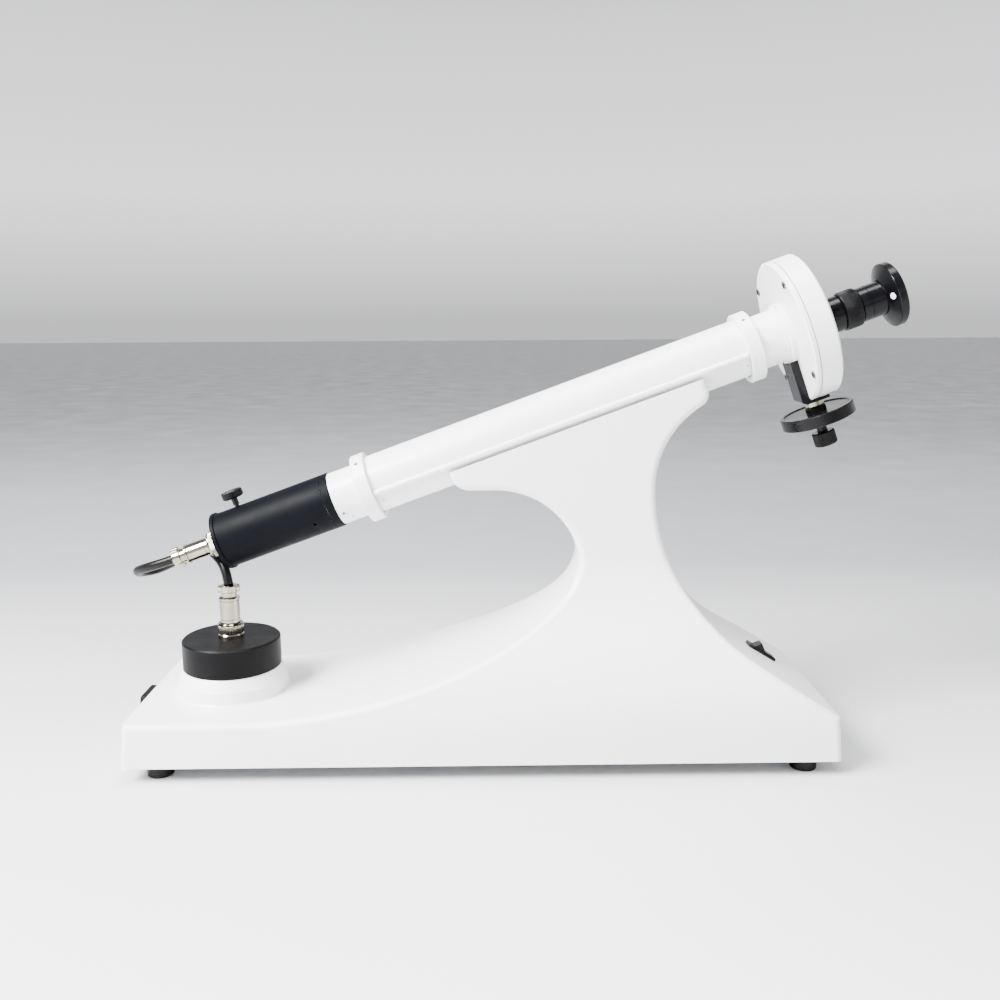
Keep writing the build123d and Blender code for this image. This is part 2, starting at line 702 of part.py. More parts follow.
def make_dial_back():
    """Hub and rear plate in one piece, with the slot that the handwheel bracket passes through."""
    body = turned(
        (ROTOR_R + RUN, 206.8), (ROTOR_R + RUN, 202.0), (END_TUBE_BORE - 0.05, 202.0), (END_TUBE_BORE - 0.05, 206.8),
        (19.0, 206.8), (19.0, 208.8), (20.5, 209.4), (20.5, DIAL_BACK), (DIAL_R - 1.2, DIAL_BACK),
        (DIAL_R, DIAL_BACK + 1.0), (DIAL_R, DIAL_SEAM), (44.5, DIAL_SEAM), (44.5, DIAL_SEAM + 2),
        (43.0, DIAL_SEAM + 2), (43.0, DIAL_SEAM), (20.5, DIAL_SEAM), (20.5, 220.8), (16.4, 220.8),
        (16.4, 210.0), (ROTOR_R + RUN, 210.0))
    half = BRACKET / 2 + 0.1
    body -= square_down(half, DIAL_BACK - 1, DIAL_SEAM + 3, BRACKET_STEP - 0.4, 60)
    body -= square_down(SHAFT_R + 0.4, DIAL_BACK - 1, DIAL_SEAM + 3, 19.8, 60)
    body -= down_rod(3.2, 10, 21)
    for angle in plate_angles():
        body -= Rot(0, 0, angle) * Pos(PLATE_CIRCLE, 0, 0) * (rod(1.3, 210, 225) + rod(2.3, 210, DIAL_BACK + 1.0))
        body -= Rot(0, 0, angle) * Pos(PLATE_CIRCLE, 0, 0) * rod(2.6, DIAL_SEAM, DIAL_SEAM + 3)
    for side in (-4.35, 4.35):
        body -= Pos(side, -28.8, 0) * rod(1.25, 210, 225)
    return on_tube(body)


PLATE_CIRCLE = 43.0


def plate_angles():
    return (42, 133, 219, 311)


def make_back_screws():
    screws = []
    for angle in plate_angles():
        place = Rot(0, 0, angle) * Pos(PLATE_CIRCLE, 0, DIAL_BACK - 0.9)
        screws.append(on_tube(place * screw(1.25, 2.25, 1.9, 7.0)))
    return group(*screws)


def window_places():
    return (-26.5, 26.5)


def make_dial_housing():
    """The round cup: rim, front wall, bearing boss, screw pillars and two reading openings."""
    body = turned(
        (ROTOR_R + RUN, 228.4), (44.6, 228.4), (44.6, DIAL_SEAM + 0.25),
        (DIAL_R, DIAL_SEAM + 0.25), (DIAL_R, DIAL_FRONT - 1.2), (DIAL_R - 1.2, DIAL_FRONT), (ROTOR_R + RUN, DIAL_FRONT))
    body -= square_down(BRACKET / 2 + 0.1, DIAL_SEAM - 1, 225.9, 30, 60)
    for side in window_places():
        body -= Pos(side, 0, 0) * rod(8.6, 226, 240)
    for angle in plate_angles():
        body += Rot(0, 0, angle) * Pos(PLATE_CIRCLE, 0, 0) * tube(1.28, 2.3, DIAL_SEAM + 0.25, 222.2)
    return on_tube(body)


def make_rotor():
    """The tube that carries the analyser, turning in the two bearings."""
    return on_tube(turned(
        (7.2, 199.6), (10.6, 199.6), (10.6, 201.9), (ROTOR_R, 201.9), (ROTOR_R, 231.3), (7.2, 231.3)))


def make_analyser():
    return on_tube(rod(7.15, 211.0, 214.0))


def make_scale_disc():
    return on_tube(turned(
        (ROTOR_R, 223.6), (12.0, 223.6), (12.0, 224.9), (42.6, 224.9), (42.6, 227.3), (26.0, 227.3),
        (26.0, 226.0), (12.5, 226.0), (12.5, 227.9), (ROTOR_R, 227.9)))


def make_verniers():
    plates = []
    for side in (0, 180):
        plate = sector(15.5, 25.7, 226.4, 227.3, side - 22, side + 22)
        post_a = Rot(0, 0, side - 19) * Pos(18, 0, 0) * rod(1.2, 227.3, 228.4)
        post_b = Rot(0, 0, side + 19) * Pos(18, 0, 0) * rod(1.2, 227.3, 228.4)
        plates.append(on_tube(plate + post_a + post_b))
    return group(*plates)


def make_magnifier_mounts():
    mounts = []
    for side in window_places():
        ring = turned((7.2, 228.5), (8.55, 228.5), (8.55, DIAL_FRONT), (10.2, DIAL_FRONT), (10.2, 234.5),
                      (9.6, 235.1), (7.9, 235.1), (7.9, 230.9), (7.2, 230.9))
        mounts.append(on_tube(Pos(side, 0, 0) * ring))
    return group(*mounts)


def make_magnifiers():
    glasses = []
    for side in window_places():
        dome = turned((0, 231.0), (7.8, 231.0), (7.8, 232.5), (6.0, 233.5), (3.5, 234.2), (0, 234.5))
        glasses.append(on_tube(Pos(side, 0, 0) * dome))
    return group(*glasses)


def bevel_gear(teeth, pitch_r, cone, face, root_share, bore, back):
    """Straight bevel gear with its apex at the origin and its large end at Z = pitch_r / tan(cone).
    Every tooth is a wedge that shrinks towards the apex."""
    apex = pitch_r / sin(cone)
    module = 2 * pitch_r / teeth
    add, ded = 0.75 * module, 1.05 * module
    small = 1 - face / apex

    def station(height, scale):
        """Radius and height of a point of the large end, moved towards the apex."""
        r = (pitch_r + height * cos(cone)) * scale
        z = (pitch_r / tan(cone) - height * sin(cone)) * scale
        return r, z

    root_big, root_small = station(-ded, 1), station(-ded, small)
    blank = turned((bore, back), (root_big[0] - 0.6, back), root_big, root_small, (bore, root_small[1]))
    half_pitch = pi / teeth
    root_half, tip_half = root_share * half_pitch, root_share * half_pitch * 0.42

    def tooth_face(scale, sink):
        corners = []
        for height, half in ((-ded - sink, root_half * 1.06), (add, tip_half)):
            r, z = station(height, scale)
            corners.append(((r * cos(half), r * sin(half), z), (r * cos(half), -r * sin(half), z)))
        (a, b), (d, c) = corners[0], corners[1]
        return Face(Wire.make_polygon([a, b, c, d]))

    tooth = Solid(loft([tooth_face(1.0, 0.25), tooth_face(small, 0.25)]).wrapped)
    wheel = blank
    for i in range(teeth):
        wheel += Rot(0, 0, 360 / teeth * i) * tooth
    return wheel


GEAR_CONE = atan2(GEAR_TEETH, PINION_TEETH)
PINION_CONE = pi / 2 - GEAR_CONE
PINION_PITCH_R = GEAR_PITCH_R * PINION_TEETH / GEAR_TEETH
TOOTH_FACE = 4.0


def make_dial_gear():
    gear = bevel_gear(GEAR_TEETH, GEAR_PITCH_R, GEAR_CONE, TOOTH_FACE, 0.66, ROTOR_R, 6.6)
    turned_gear = Rot(0, 0, 270 + 180 / GEAR_TEETH) * gear
    return on_tube(Pos(0, 0, SHAFT_AT) * turned_gear)


def shaft_frame():
    """Local Z runs down the handwheel's shaft from the tube's axis; local X is along the tube."""
    return Plane(origin=tube_point(SHAFT_AT), x_dir=(ca, 0, sa), z_dir=(sa, 0, -ca)).location


def make_pinion():
    pinion = bevel_gear(PINION_TEETH, PINION_PITCH_R, PINION_CONE, TOOTH_FACE, 0.66, SHAFT_R, 15.3)
    return shaft_frame() * pinion


def make_shaft():
    return shaft_frame() * turned((0, 10.3), (SHAFT_R, 10.3), (SHAFT_R, 78.6), (0, 78.6))


def make_upper_bush():
    return shaft_frame() * (tube(SHAFT_R + RUN, 3.2, 15.9, 22.0) & (rod(3.3, 10, 30) - Rot(0, 90, 0) * Pos(0, 0, -40) * (rod(60, 0, 80) - rod(20.4, -1, 90))))


def make_bracket():
    half = BRACKET / 2
    s_mid = 216.6
    body = square_down(half, s_mid - half, DIAL_BACK, 10, BRACKET_BOTTOM)
    body += square_down(half, s_mid - half, s_mid + half, BRACKET_STEP, BRACKET_BOTTOM)
    body -= rod(20.55, 190, 240)
    corner = body.edges().filter_by(Axis.X).sort_by_distance((0, -BRACKET_BOTTOM, s_mid - half))[0]
    body = chamfer(corner, 2.6)
    body -= down_rod(SHAFT_R + 0.35, 10, 60)
    body -= down_rod(4.0, 40, 60)
    for side in (-4.35, 4.35):
        body -= Pos(side, -28.8, 0) * (rod(1.35, 200, 220) + rod(2.3, 200, s_mid - half + 2.0))
    return on_tube(body)


def make_bracket_screws():
    s = 216.6 - BRACKET / 2
    return group(*[on_tube(Pos(side, -28.8, s + 0.1) * screw(1.25, 2.2, 1.9, 6.4)) for side in (-4.35, 4.35)])


def make_lower_bush():
    return shaft_frame() * turned(
        (SHAFT_R + RUN, 43.5), (4.0, 43.5), (4.0, BRACKET_BOTTOM), (6.5, BRACKET_BOTTOM),
        (6.5, 51.6), (6.1, 52.0), (SHAFT_R + RUN, 52.0))


def make_handwheel():
    return shaft_frame() * turned(
        (SHAFT_R, 52.4), (6.2, 52.4), (6.75, 53.0), (6.75, 55.6), (21.2, 55.6), (21.5, 55.2), (21.9, 54.9),
        (23.4, 54.9), (24.0, 55.5), (24.0, 62.2), (23.4, 62.8), (21.4, 62.8), (20.8, 61.8), (8.0, 61.8),
        (7.4, 63.4), (SHAFT_R, 63.4))


def make_fine_knob():
    return shaft_frame() * turned(
        (SHAFT_R, 63.4), (3.4, 63.4), (3.4, 70.2), (6.8, 70.2), (7.5, 70.8), (7.5, 79.0), (6.8, 79.7),
        (0, 79.7), (0, 78.6), (SHAFT_R, 78.6))


# ---- eyepiece -------------------------------------------------------------------------------------
DRAW_R = 10.4


def make_eyepiece_mount():
    return on_tube(turned(
        (DRAW_R + RUN, DIAL_FRONT), (12.4, DIAL_FRONT), (12.4, 232.6), (11.85, 233.2),
        (11.85, 249.4), (11.35, 249.9), (DRAW_R + RUN, 249.9)))


def make_focus_ring():
    return on_tube(turned(
        (DRAW_R + RUN, 250.1), (12.0, 250.1), (12.8, 250.9), (12.8, 261.0), (12.0, 261.8), (DRAW_R + RUN, 261.8)))


def make_eyepiece_tube():
    return on_tube(turned(
        (8.8, 243.0), (DRAW_R, 243.0), (DRAW_R, 262.1), (10.9, 262.1), (11.35, 262.6), (11.35, 267.6),
        (11.05, 267.8), (11.05, 268.3), (11.35, 268.5), (11.35, 277.5), (8.8, 277.5)))


def make_eyecup():
    cup = on_tube(turned(
        (6.5, 285.9), (8.0, 284.9), (8.8, 283.9), (8.8, 277.5), (12.0, 277.5), (12.4, 277.9), (20.9, 281.8),
        (21.2, 282.2), (21.2, 286.2), (20.3, 287.3), (8.2, 287.3)))
    return cup - make_index_dot()


def make_index_dot():
    """A painted dot on the eyecup's cone, on the operator's side."""
    return on_tube(Pos(-16.3, 0, 279.75) * Rot(0, -117, 0) * Rot(0, 90, 0) * rod(1.9, -0.8, 0.5))


# ---- cable -----------------------------------------------------------------------------------------
CABLE_ROUTE = [
    tube_point(PLUG_TAIL),
    (-237.9, 0.2, 127.3),
    (-248.6, 3.6, 123.4),
    (-256.4, 12.0, 119.2),
    (-259.0, 22.5, 115.0),
    (-252.2, 31.5, 114.6),
    (-241.0, 34.0, 120.0),
    (-229.6, 29.8, 127.4),
    (-218.8, 22.4, 132.6),
    (-209.2, 15.2, 132.4),
    (-201.4, 8.4, 127.8),
    (-195.2, 2.2, 121.0),
    (CAP_X, 0.0, CAP_PLUG_TOP),
]


def corner_radii(route):
    """The largest arc that each corner's two runs leave room for."""
    radii = []
    for before, corner, after in zip(route, route[1:], route[2:]):
        way_in = Vector(*corner) - Vector(*before)
        way_out = Vector(*after) - Vector(*corner)
        half_turn = radians(way_in.get_angle(way_out)) / 2
        radii.append(0.45 * min(way_in.length, way_out.length) / tan(half_turn))
    return radii


def make_cable():
    radii = corner_radii(CABLE_ROUTE)
    print("cable arc radii, mm:", [round(r, 1) for r in radii])
    path = FilletPolyline(*CABLE_ROUTE, radius=radii)
    section = Plane(origin=path @ 0, z_dir=path % 0) * Circle(CABLE_D / 2)
    cable = sweep(section, path=path)
    wanted = pi * CABLE_D ** 2 / 4 * path.length
    print(f"cable length {path.length:.1f} mm, volume {cable.volume:.0f} of {wanted:.0f} mm3")
    return cable


def make_base_screws():
    return group(make_plate_screws(), make_foot_screws())


def make_lamp_supply():
    return make_supply_board() + make_transformer() + make_capacitors()


def make_plug_clamps():
    return group(make_cap_clamp(), make_lamp_clamp())


def make_clamp_screws():
    return group(make_cap_clamp_screws(), make_lamp_clamp_screws())


def make_optic_holders():
    return group(
        make_lens_ring(), make_filter_holder(), make_polariser_holder(), make_half_shade_holder(),
        make_window_holders())


def make_dial_screws():
    return group(make_back_screws(), make_bracket_screws())


def make_shaft_bushes():
    return group(make_upper_bush(), make_lower_bush())


def make_condenser():
    return lens(14.5, 6.0, 1.6, -134.9)


def make_eye_lenses():
    return group(lens(8.75, 3.6, 1.4, 244.0), lens(8.75, 4.5, 1.4, 278.5))


NODES = {
    "stand": make_stand,
    "base_plate": make_base_plate,
    "base_screws": make_base_screws,
    "feet": make_feet,
    "mains_inlet": make_inlet,
    "inlet_pins": make_inlet_pins,
    "switch_body": make_switch_body,
    "switch_rocker": make_rocker,
    "lamp_supply": make_lamp_supply,
    "cap": make_cap,
    "cap_socket": make_cap_socket,
    "cap_plug_nut": make_cap_nut,
    "cap_plug": make_cap_plug,
    "plug_clamps": make_plug_clamps,
    "clamp_screws": make_clamp_screws,
    "lamp_cable": make_cable,
    "lamp_housing": make_lamp_housing,
    "lamp_collar": make_lamp_collar,
    "thumb_screw": make_thumb_screw,
    "lamp_socket": make_lamp_socket,
    "lamp_plug_nut": make_lamp_nut,
    "lamp_plug": make_lamp_plug,
    "lamp_holder": make_lamp_holder,
    "lamp_led": make_lamp_led,
    "condenser_lens": make_condenser,
    "lamp_end_tube": make_lamp_end_tube,
    "optic_holders": make_optic_holders,
    "colour_filter": make_filter,
    "polariser": make_polariser,
    "half_shade": make_half_shade,
    "chamber_windows": make_chamber_windows,
    "sample_barrel": make_barrel,
    "sample_cover": make_cover,
    "lamp_end_ring": make_lamp_ring,
    "dial_end_ring": make_dial_ring,
    "ring_grub_screws": make_grub_screws,
    "analyser_tube": make_analyser_tube,
    "dial_back": make_dial_back,
    "dial_screws": make_dial_screws,
    "dial_housing": make_dial_housing,
    "dial_rotor": make_rotor,
    "analyser": make_analyser,
    "scale_disc": make_scale_disc,
    "dial_gear": make_dial_gear,
    "verniers": make_verniers,
    "magnifier_mounts": make_magnifier_mounts,
    "magnifiers": make_magnifiers,
    "wheel_bracket": make_bracket,
    "shaft_bushes": make_shaft_bushes,
    "wheel_shaft": make_shaft,
    "wheel_pinion": make_pinion,
    "handwheel": make_handwheel,
    "fine_knob": make_fine_knob,
    "eyepiece_mount": make_eyepiece_mount,
    "focus_ring": make_focus_ring,
    "eyepiece_tube": make_eyepiece_tube,
    "eyecup": make_eyecup,
    "eye_lenses": make_eye_lenses,
    "index_dot": make_index_dot,
}


def main():
    os.makedirs("parts", exist_ok=True)
    for name, make in NODES.items():
        export_step(make(), f"parts/{name}.step")


main()
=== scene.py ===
import bpy, bmesh, json
from math import cos, pi, radians, sin
from mathutils import Matrix, Vector


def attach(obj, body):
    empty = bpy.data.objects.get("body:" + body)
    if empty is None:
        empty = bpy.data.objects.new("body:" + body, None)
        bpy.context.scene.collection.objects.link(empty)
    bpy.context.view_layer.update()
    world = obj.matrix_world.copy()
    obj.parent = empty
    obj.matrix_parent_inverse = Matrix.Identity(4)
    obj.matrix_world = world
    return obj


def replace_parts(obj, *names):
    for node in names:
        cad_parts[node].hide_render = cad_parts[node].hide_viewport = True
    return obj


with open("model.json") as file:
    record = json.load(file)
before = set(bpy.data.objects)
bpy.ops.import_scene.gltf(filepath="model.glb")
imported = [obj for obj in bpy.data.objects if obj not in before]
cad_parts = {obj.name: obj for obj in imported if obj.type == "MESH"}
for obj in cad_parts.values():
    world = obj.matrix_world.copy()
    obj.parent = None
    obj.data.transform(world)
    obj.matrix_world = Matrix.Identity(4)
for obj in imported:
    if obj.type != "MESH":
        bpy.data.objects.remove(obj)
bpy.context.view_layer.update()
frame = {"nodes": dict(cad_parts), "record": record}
MM = 0.001

# ---- frames shared with the CAD, in millimetres until they meet a mesh -----------------------
BASE_X, AXIS_HEIGHT, TILT = -20.45, 206.25, radians(20)
CAP_X = BASE_X - 172.5
CA, SA = cos(TILT), sin(TILT)
TUBE = Matrix(((0, -SA, CA, BASE_X), (1, 0, 0, 0), (0, CA, SA, AXIS_HEIGHT), (0, 0, 0, 1)))
WHEEL_AT = 217.0     # the handwheel's shaft crosses the tube's axis this far along it
SHAFT = Matrix((
    (CA, 0, SA, BASE_X + WHEEL_AT * CA), (0, 1, 0, 0),
    (SA, 0, -CA, AXIS_HEIGHT + WHEEL_AT * SA), (0, 0, 0, 1)))
LAMP_PLUG = TUBE @ Matrix.Rotation(pi, 4, "X")
CAP = Matrix.Translation((CAP_X, 0, 0))
THUMB_AT = -167.4
THUMB = TUBE @ Matrix.Translation((0, 0, THUMB_AT)) @ Matrix.Rotation(-pi / 2, 4, "X")


# ---- camera and cable -------------------------------------------------------------------------
CAMERA_AT = (-0.01575, -0.65034, 0.28809)
CAMERA_YAW, CAMERA_PITCH, CAMERA_ROLL = radians(0.694), radians(10.352), radians(-0.329)
CAMERA_LENS = 35.395


def make_camera():
    yaw, pitch, roll = CAMERA_YAW, CAMERA_PITCH, CAMERA_ROLL
    ahead = Vector((sin(yaw) * cos(pitch), cos(yaw) * cos(pitch), -sin(pitch)))
    right = Vector((cos(yaw), -sin(yaw), 0))
    up = right.cross(ahead)
    r2 = cos(roll) * right + sin(roll) * up
    u2 = -sin(roll) * right + cos(roll) * up
    data = bpy.data.cameras.new("camera")
    data.sensor_width, data.lens, data.clip_start = 36.0, CAMERA_LENS, 0.01
    cam = bpy.data.objects.new("camera", data)
    turn = Matrix((r2, u2, -ahead)).transposed().to_4x4()
    cam.matrix_world = Matrix.Translation(CAMERA_AT) @ turn
    bpy.context.collection.objects.link(cam)
    bpy.context.scene.camera = cam


make_camera()

CABLE_D = 6.4
PLUG_TAIL = 221.4        # the lamp plug ends this far down the tube
CAP_PLUG_TOP = 112.4
CABLE_ROUTE = [
    (BASE_X - PLUG_TAIL * CA, 0.0, AXIS_HEIGHT - PLUG_TAIL * SA),
    (-237.9, 0.2, 127.3),
    (-249.4, 3.2, 123.6),
    (-258.6, 12.0, 119.4),
    (-261.6, 24.0, 115.0),
    (-253.4, 34.4, 114.0),
    (-240.4, 36.4, 119.6),
    (-229.0, 31.0, 127.6),
    (-218.8, 22.4, 132.6),
    (-209.0, 15.2, 133.2),
    (-201.0, 8.5, 129.0),
    (-194.7, 2.4, 121.8),
    (CAP_X, 0.0, CAP_PLUG_TOP),
]


# ---- node materials ---------------------------------------------------------------------------
class Mat:
    """A Principled material whose colour, roughness and bump vary over the surface."""

    def __init__(self, name, **sockets):
        self.mat = bpy.data.materials.new(name)
        self.mat.use_nodes = True
        self.nodes, self.links = self.mat.node_tree.nodes, self.mat.node_tree.links
        self.shader = self.nodes["Principled BSDF"]
        self.place = self.nodes.new("ShaderNodeTexCoord").outputs["Object"]
        self.height = None
        for key, value in sockets.items():
            self.shader.inputs[key.replace("_", " ")].default_value = value

    def mapped(self, frame_mm, scale=(1, 1, 1)):
        """Object coordinates seen from frame_mm, then stretched by scale."""
        into_frame = self.nodes.new("ShaderNodeMapping")
        into_frame.vector_type = "TEXTURE"
        into_frame.inputs["Location"].default_value = frame_mm.translation * MM
        into_frame.inputs["Rotation"].default_value = frame_mm.to_euler()
        self.links.new(self.place, into_frame.inputs["Vector"])
        stretch = self.nodes.new("ShaderNodeMapping")
        stretch.inputs["Scale"].default_value = scale
        self.links.new(into_frame.outputs[0], stretch.inputs["Vector"])
        return stretch.outputs[0]

    def noise(self, scale, detail=3.0, source=None):
        node = self.nodes.new("ShaderNodeTexNoise")
        node.inputs["Scale"].default_value = scale
        node.inputs["Detail"].default_value = detail
        self.links.new(source or self.place, node.inputs["Vector"])
        return node.outputs["Fac"]

    def math(self, kind, a, b=0.0, c=0.0):
        node = self.nodes.new("ShaderNodeMath")
        node.operation = kind
        for socket, value in zip(node.inputs, (a, b, c)):
            if isinstance(value, (int, float)):
                socket.default_value = value
            else:
                self.links.new(value, socket)
        return node.outputs[0]

    def span(self, value, low, high, from_low=0.3, from_high=0.7):
        node = self.nodes.new("ShaderNodeMapRange")
        node.inputs["From Min"].default_value = from_low
        node.inputs["From Max"].default_value = from_high
        node.inputs["To Min"].default_value = low
        node.inputs["To Max"].default_value = high
        self.links.new(value, node.inputs["Value"])
        return node.outputs[0]

    def mix(self, fac, a, b):
        node = self.nodes.new("ShaderNodeMix")
        node.data_type = "RGBA"
        self.links.new(fac, node.inputs["Factor"])
        for key, value in ((6, a), (7, b)):
            if isinstance(value, tuple):
                node.inputs[key].default_value = (*value, 1)
            else:
                self.links.new(value, node.inputs[key])
        return node.outputs[2]

    def colour(self, socket):
        self.links.new(socket, self.shader.inputs["Base Color"])

    def roughness(self, socket):
        self.links.new(socket, self.shader.inputs["Roughness"])

    def bump(self, height, distance, strength=1.0):
        node = self.nodes.new("ShaderNodeBump")
        node.inputs["Distance"].default_value = distance
        node.inputs["Strength"].default_value = strength
        self.links.new(height, node.inputs["Height"])
        if self.height is not None:
            self.links.new(self.height, node.inputs["Normal"])
        self.height = node.outputs[0]
        self.links.new(self.height, self.shader.inputs["Normal"])


def paint(name, light, dark, rough=(0.34, 0.44), peel=(1300, 0.00004), **sockets):
    """Sprayed or moulded finish: cloudy colour, a few dust specks and an orange-peel skin."""
    m = Mat(name, **sockets)
    colour = m.mix(m.span(m.noise(14, 4), 0, 1), light, dark)
    dust = m.span(m.noise(420, 2), 0, 1, 0.66, 0.8)
    m.colour(m.mix(dust, colour, tuple(v * 0.9 for v in dark)))
    m.roughness(m.span(m.noise(60, 5), *rough))
    m.bump(m.noise(peel[0], 2), peel[1], 0.5)
    return m.mat


def turned_metal(name, light, dark, rough, frame_mm, lines=1600, depth=0.000002, **sockets):
    """Turned metal: rings that run round the axis of frame_mm, and cloudy plating."""
    m = Mat(name, **sockets)
    m.colour(m.mix(m.span(m.noise(120, 4), 0, 1), light, dark))
    rings = m.noise(1.0, 2, m.mapped(frame_mm, (40, 40, lines)))
    m.roughness(m.math("ADD", m.span(rings, rough[0], rough[1]), m.span(m.noise(300, 3), -0.03, 0.03)))
    m.bump(rings, depth, 0.6)
    return m.mat


def gap_shaded_paint(name, light, dark, rough, seam, half_width, **sockets):
    """Enamel with painted shade: a fine dark line in the gap where two turned parts meet, at a distance along
    the tube.
    """
    m = Mat(name, **sockets)
    split = m.nodes.new("ShaderNodeSeparateXYZ")
    m.links.new(m.mapped(TUBE), split.inputs[0])
    off = m.math("ABSOLUTE", m.math("SUBTRACT", split.outputs[2], seam * MM))
    # painted shade: a near-black line across the gap between the two turned parts
    line = m.span(off, 1, 0, half_width * MM, half_width * 1.6 * MM)
    m.colour(m.mix(line, m.mix(m.span(m.noise(14, 4), 0, 1), light, dark), (0.12, 0.12, 0.125)))
    m.roughness(m.span(m.noise(60, 5), *rough))
    m.bump(m.noise(1700, 2), 0.00002, 0.5)
    return m.mat


def glassy(name, tint, rough=(0.01, 0.04), **sockets):
    m = Mat(name, IOR=1.5, Transmission_Weight=1.0, **sockets)
    m.colour(m.mix(m.span(m.noise(90, 3), 0, 1), tint, tuple(v * 0.96 for v in tint)))
    m.roughness(m.span(m.noise(500, 4), *rough))
    return m.mat


def scale_material(name, divisions, r_low, r_mid, r_high):
    """Silvered ring with fine black graduations round the tube's axis, every fifth one longer."""
    m = Mat(name, Metallic=0.55)
    split = m.nodes.new("ShaderNodeSeparateXYZ")
    m.links.new(m.mapped(TUBE), split.inputs[0])
    x, y = split.outputs[0], split.outputs[1]
    radius = m.math("SQRT", m.math("ADD", m.math("MULTIPLY", x, x), m.math("MULTIPLY", y, y)))
    turns = m.math("MULTIPLY", m.math("ARCTAN2", y, x), divisions / (2 * pi))

    def ticks(share, low, high, width):
        phase = m.math("FRACT", m.math("MULTIPLY_ADD", turns, share, 0.5))
        off = m.math("ABSOLUTE", m.math("SUBTRACT", phase, 0.5))
        arc = m.math("MULTIPLY", off, m.math("MULTIPLY", radius, 2 * pi / (divisions * share)))
        inside = m.math("MULTIPLY", m.math("GREATER_THAN", radius, low), m.math("LESS_THAN", radius, high))
        return m.math("MULTIPLY", m.math("LESS_THAN", arc, width / 2), inside)

    ink = m.math("MAXIMUM", ticks(1.0, r_low, r_mid, 0.00016), ticks(0.2, r_low, r_high, 0.0002))
    silver = m.mix(m.span(m.noise(150, 3), 0, 1), (0.83, 0.83, 0.82), (0.76, 0.76, 0.75))
    m.colour(m.mix(ink, silver, (0.015, 0.015, 0.015)))
    m.roughness(m.span(m.noise(700, 3), 0.32, 0.42))
    m.bump(ink, -0.00002, 0.5)
    return m.mat


WHITE = dict(Coat_Weight=0.25, Coat_Roughness=0.22)
ALLOY_TONES = (0.85, 0.855, 0.855), (0.81, 0.815, 0.82), (0.30, 0.38)
GLOSS_BLACK = (0.0012, 0.0012, 0.0014), (0.0025, 0.0025, 0.0028)
NICKEL = (0.33, 0.305, 0.25), (0.26, 0.235, 0.185), (0.1, 0.17)
DIAL_SEAM = 216.32       # where the dial's back plate meets its housing, along the tube
GAP_SHADE_HALF_WIDTH = 0.2
MATS = {
    "white_enamel": paint("white_enamel", (0.84, 0.84, 0.835), (0.80, 0.80, 0.80), (0.36, 0.46), **WHITE),
    "white_alloy": paint("white_alloy", *ALLOY_TONES, (1700, 0.00002), **WHITE),
    "black_anodised": turned_metal(
        "black_anodised", (0.0012, 0.0012, 0.0016), (0.0025, 0.0025, 0.0035), (0.16, 0.24), TUBE,
        Specular_IOR_Level=0.16),
    "black_plastic": paint(
        "black_plastic", (0.0014, 0.0014, 0.0016), (0.003, 0.003, 0.0033), (0.42, 0.55), (900, 0.00006),
        Specular_IOR_Level=0.14),
    "black_gloss_plastic": paint(
        "black_gloss_plastic", *GLOSS_BLACK, (0.2, 0.3), (1200, 0.00002), Specular_IOR_Level=0.2),
    "black_rubber": paint(
        "black_rubber", *GLOSS_BLACK, (0.3, 0.42), (1500, 0.00004), Specular_IOR_Level=0.16),
    "nickel_plate": turned_metal("nickel_plate", *NICKEL, LAMP_PLUG, Metallic=1.0),
    "screw_steel": turned_metal(
        "screw_steel", (0.5, 0.5, 0.51), (0.4, 0.4, 0.41), (0.2, 0.34), TUBE, Metallic=1.0),
    "sheet_steel": paint("sheet_steel", (0.52, 0.53, 0.53), (0.42, 0.43, 0.44), (0.3, 0.45), Metallic=0.9),
    "brass": turned_metal("brass", (0.75, 0.56, 0.26), (0.65, 0.46, 0.2), (0.2, 0.34), TUBE, Metallic=1.0),
    "bare_alloy": turned_metal(
        "bare_alloy", (0.72, 0.73, 0.74), (0.62, 0.63, 0.64), (0.26, 0.4), TUBE, Metallic=1.0),
    "scale_silver": scale_material("scale_silver", 360, 0.0262, 0.0305, 0.033),
    "glass": glassy("glass", (0.93, 0.96, 0.97)),
    "yellow_glass": glassy("yellow_glass", (0.95, 0.62, 0.1)),
    "polaroid": glassy("polaroid", (0.25, 0.27, 0.28)),
    "led_lens": glassy("led_lens", (0.98, 0.9, 0.5), (0.05, 0.12)),
    "green_board": paint("green_board", (0.03, 0.2, 0.08), (0.02, 0.14, 0.05), (0.3, 0.45)),
    "white_paint_dot": paint("white_paint_dot", (0.85, 0.85, 0.84), (0.78, 0.78, 0.76), (0.35, 0.5)),
}
OWN = {
    "verniers": scale_material("vernier_silver", 180, 0.0232, 0.0256, 0.0256),
    "lamp_housing": paint(
        "lamp_paint", (0.0012, 0.0014, 0.0026), (0.0024, 0.0027, 0.0042), (0.44, 0.56), (1500, 0.00003),
        Specular_IOR_Level=0.04),
    "cap": paint(
        "cap_paint", (0.0015, 0.0015, 0.0018), (0.003, 0.003, 0.0034), (0.34, 0.46), (1500, 0.00003),
        Specular_IOR_Level=0.07),
    "handwheel": turned_metal(
        "wheel_black", (0.0012, 0.0012, 0.0015), (0.0025, 0.0025, 0.003), (0.22, 0.32), SHAFT,
        Specular_IOR_Level=0.14),
    "cap_socket": turned_metal("cap_nickel", *NICKEL, CAP, Metallic=1.0),
}
OWN["lamp_collar"] = OWN["lamp_housing"]
# dial back plate and housing: enamel with a painted shade line in the gap between them
for turned_node in ("dial_back", "dial_housing"):
    OWN[turned_node] = gap_shaded_paint(
        turned_node + "_enamel", *ALLOY_TONES, DIAL_SEAM, GAP_SHADE_HALF_WIDTH, **WHITE)
OWN["ring_grub_screws"] = MATS["black_plastic"]
OWN["dial_screws"] = turned_metal(
    "dial_screw_steel", (0.16, 0.145, 0.125), (0.1, 0.09, 0.078), (0.24, 0.36), TUBE, Metallic=1.0)

